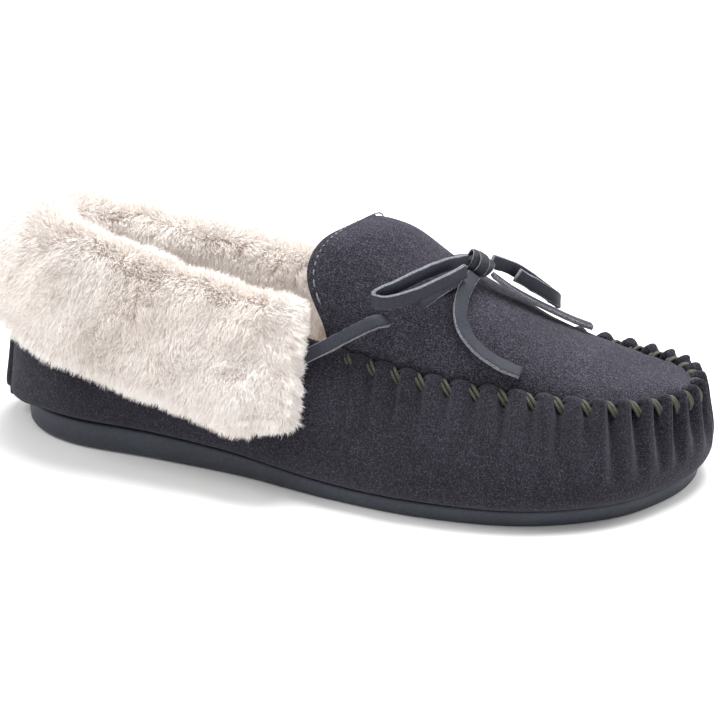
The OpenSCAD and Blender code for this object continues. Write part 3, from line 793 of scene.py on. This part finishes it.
# a fringe along the lower edge and down both front ends
fur_patch("cuff_fringe", base[:, :14], nr[:, :14], lean[:, :14] * 1.1, 26000, 5.4, 0.45, 41, width=0.17,
          clump_r=4.0)
LEG = 50                                             # points down one front end
for sgn, nm in ((-1, "near"), (1, "far")):
    end = -1 if sgn == -1 else 0
    at = uc[end]
    inner_leg = wall_z(np.full(LEG, at), np.linspace(float(lo2[end]), float(tz[end]), LEG), np.full(LEG, -1.5))
    rows = np.stack([base[end, :LEG] * (1 - t) + inner_leg * t for t in (0, 0.33, 0.66, 1.0)], 0)
    tx = station(np.array([at + (0.05 if at > 0 else -0.05)]))[0] - station(np.array([at]))[0]
    fwd = np.array([tx[2], tx[3], 0.0]) / np.hypot(tx[2], tx[3])
    end_nrm = np.broadcast_to(fwd, rows.shape).copy()
    end_nrm[0] += nr[end, :LEG] * 0.9
    end_lean = np.broadcast_to(np.array([0, 0, -0.55]), rows.shape).copy()
    make(f"cuff_end_{nm}", rows.reshape(-1, 3), grid_faces(4, LEG), [M_BACKING], slot="plush")
    edge = (slice(-9, None) if sgn == -1 else slice(0, 9), slice(0, 56))
    fur_patch(f"cuff_corner_fibres_{nm}", base[edge], nr[edge] + fwd * 0.75, lean[edge] + fwd * 0.3, 9000, 5.0,
              0.4, 91 + sgn, width=0.15, clump_r=4.0)
    fur_patch(f"cuff_end_fibres_{nm}", rows, end_nrm, end_lean, 9000, 5.6, 0.45, 51 + sgn, width=0.17,
              clump_r=4.0)

# ---------------------------------------------------------------- lining, short pile
SHORT_PILE = dict(width=0.3, tip=MIDDLE, slot="pile", clump_r=4)
NL = 300
ul = np.linspace(0, COUNT, NL)
hs = np.r_[0.0, np.linspace(0.04, 1, 24)]
uv = np.where(ul > TOE, COUNT - ul, ul)
ltop = wall_h(ul) - np.interp(uv, [4.2, 4.6, 7.0, 8.0], [14, 2.2, 2.2, 5])
Lg = np.stack([wall(ul, (4.8 + (ltop - 4.8) * h) / wall_h(ul), 5.2) for h in hs], 1)
nl = unit(np.cross(np.gradient(Lg, axis=0), np.gradient(Lg, axis=1)))
if (nl[:, 5, :2] * outward(ul)).sum(-1).mean() > 0:
    nl = -nl
make("lining_backing", Lg.reshape(-1, 3), grid_faces(NL, len(hs)), [M_BACKING], rep=("wall_lining",),
     slot="pile")
ln = np.zeros_like(Lg)
ln[..., 2] = -0.3
fur_patch("lining_fibres", Lg[:, 3:], nl[:, 3:], ln[:, 3:], 30000, 4.0, 0.45, 61, **SHORT_PILE)
wl = np.sin(np.linspace(-1, 1, 60) * np.pi / 2) * 0.9995
under = (6.0, 4.0, 3.4)                              # inset, drop and edge of the skin under the apron
Au = np.concatenate([tongue(np.array([0.8, 0.4])[:, None], wl[None], *under),
                     apron(np.linspace(THROAT, 8.9, 60)[:, None], wl[None], *under)])
make("apron_lining_backing", Au.reshape(-1, 3), grid_faces(len(Au), len(wl)), [M_BACKING],
     rep=("apron_lining",), slot="pile")
na = unit(np.cross(np.gradient(Au, axis=0), np.gradient(Au, axis=1)), 1e-9)
if na[30, 30, 2] > 0:
    na = -na
fur_patch("apron_lining_fibres", Au[:40], na[:40], na[:40] * 0.2, 8000, 3.4, 0.4, 71, **SHORT_PILE)


def spine(xy, reach):
    """Points along the sole's middle line, which the rings inside its outline close on."""
    x = np.clip(xy[:, 0], -reach, reach)
    return np.c_[x, 0.07 * x]


# sock
RINGS = (1.0, 0.8, 0.6, 0.4, 0.2, -0.02)
gx = np.linspace(0, COUNT, 240, endpoint=False)
edge_xy = station(gx)[:, :2] - outward(gx) * 0.9
cen = spine(edge_xy, 85)
Sk = []
for r in RINGS:
    xy = cen + (edge_xy - cen) * r
    Sk.append(np.c_[xy, sole_top(xy[:, 0]) + 10.2 + (1.2 if r == 1.0 else 0.0)])
Sk = np.stack(Sk, 1)
make("sock", Sk.reshape(-1, 3), grid_faces(len(gx), len(RINGS), wrap_n=True), [M_BACKING],
     rep=("sock_lining",), slot="pile")
ns = np.zeros_like(Sk)
ns[..., 2] = 1
fur_patch("sock_fibres", Sk, ns, ns * 0.1, 20000, 3.2, 0.5, 81, **SHORT_PILE)

# ---------------------------------------------------------------- outsole
# outline rings from the tread up: inset, and share of the sole's thickness
SIDE = ((3.2, 0.0), (1.0, 0.02), (0.25, 0.10), (-0.35, 0.24), (-0.6, 0.42), (-0.6, 0.8), (-0.45, 0.93),
        (0.0, 0.985), (1.2, 1.0), (5.0, 1.0))
NS, TREAD_RINGS, GROOVE_PITCH, GROOVE_W, GROOVE_D = 900, 40, 9, 2.6, 1.1
un = np.linspace(0, COUNT, NS, endpoint=False)
pp, no = station(un), outward(un)
st = sole_top(pp[:, 0])
bevel = 1.2 + 1.6 * (st - SOLE_TOE) / (SOLE_HEEL - SOLE_TOE)
side_rings = []
for inset, fr in SIDE:
    i_ = np.full(NS, inset) if fr >= 0.2 or inset <= 0 else inset * (bevel / 1.6)
    side_rings.append(np.c_[pp[:, 0] - no[:, 0] * i_, pp[:, 1] - no[:, 1] * i_, st * fr])
Rg = np.stack(side_rings, 1)
v, f = Rg.reshape(-1, 3), grid_faces(NS, len(SIDE), wrap_n=True)
# bottom skin with a grooved tread, as rings inside the same outline
inner_xy = Rg[:, 0, :2]
cen = spine(inner_xy, 92)
tread = []
for r in np.linspace(1, 0.0, TREAD_RINGS):
    xy = cen + (inner_xy - cen) * r
    groove = ((xy[:, 0] + 4) % GROOVE_PITCH < GROOVE_W) & (r < 0.97) & (np.abs(xy[:, 0] + 12) > 28)
    tread.append(np.c_[xy, np.where(groove, GROOVE_D, 0.0)])
v2 = np.stack(tread, 1).reshape(-1, 3)
f2 = grid_faces(NS, TREAD_RINGS, wrap_n=True, start=len(v), flip=True)
make("sole_rubber", np.concatenate([v, v2]), np.concatenate([f, f2]), [M_RUBBER], rep=("outsole",),
     slot="rubber_sole")

# inner layers stay as they are, with their own materials
for nm, mt in (("bottom_filler", M_BOARD), ("insole_board", M_BOARD), ("foam_footbed", M_FOAM),
               ("heel_counter", M_BOARD)):
    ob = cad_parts[nm]
    ob.data.materials.clear()
    ob.data.materials.append(mt)

# ---------------------------------------------------------------- floor and light
floor_mat, b, N, L = new_mat("floor")
co = N.new("ShaderNodeTexCoord").outputs["Object"]
g = noise(N, L, co, 6, 2, 0.5)
white = ramp(N, L, g.outputs["Fac"], [(0.3, (0.93, 0.93, 0.93)), (0.7, (0.95, 0.95, 0.95))])
L.new(white.outputs[0], b.inputs["Base Color"])
set_in(b, Roughness=0.9)
me = bpy.data.meshes.new("floor")
HALF = 6.0
me.from_pydata([(-HALF, -HALF, 0), (HALF, -HALF, 0), (HALF, HALF, 0), (-HALF, HALF, 0)], [], [(0, 1, 2, 3)])
me.materials.append(floor_mat)
floor = bpy.data.objects.new("floor", me)
bpy.context.collection.objects.link(floor)

world = bpy.data.worlds.new("world")
bpy.context.scene.world = world
world.use_nodes = True
background = world.node_tree.nodes["Background"]
background.inputs[0].default_value = (1, 1, 1, 1)
background.inputs[1].default_value = 0.62


def lamp(name, loc, size, power, look=(0, 0, 0.04)):
    d = bpy.data.lights.new(name, "AREA")
    d.energy, d.size = power, size
    o = bpy.data.objects.new(name, d)
    o.location = loc
    o.rotation_euler = (Vector(look) - Vector(loc)).to_track_quat("-Z", "Y").to_euler()
    bpy.context.collection.objects.link(o)


lamp("key", (-1.0, -0.5, 1.25), 0.8, 11)
lamp("top", (0.1, 0.35, 1.5), 0.9, 34)
lamp("rim", (1.0, 0.7, 0.9), 0.7, 8)
bpy.context.scene.view_settings.view_transform = "Standard"
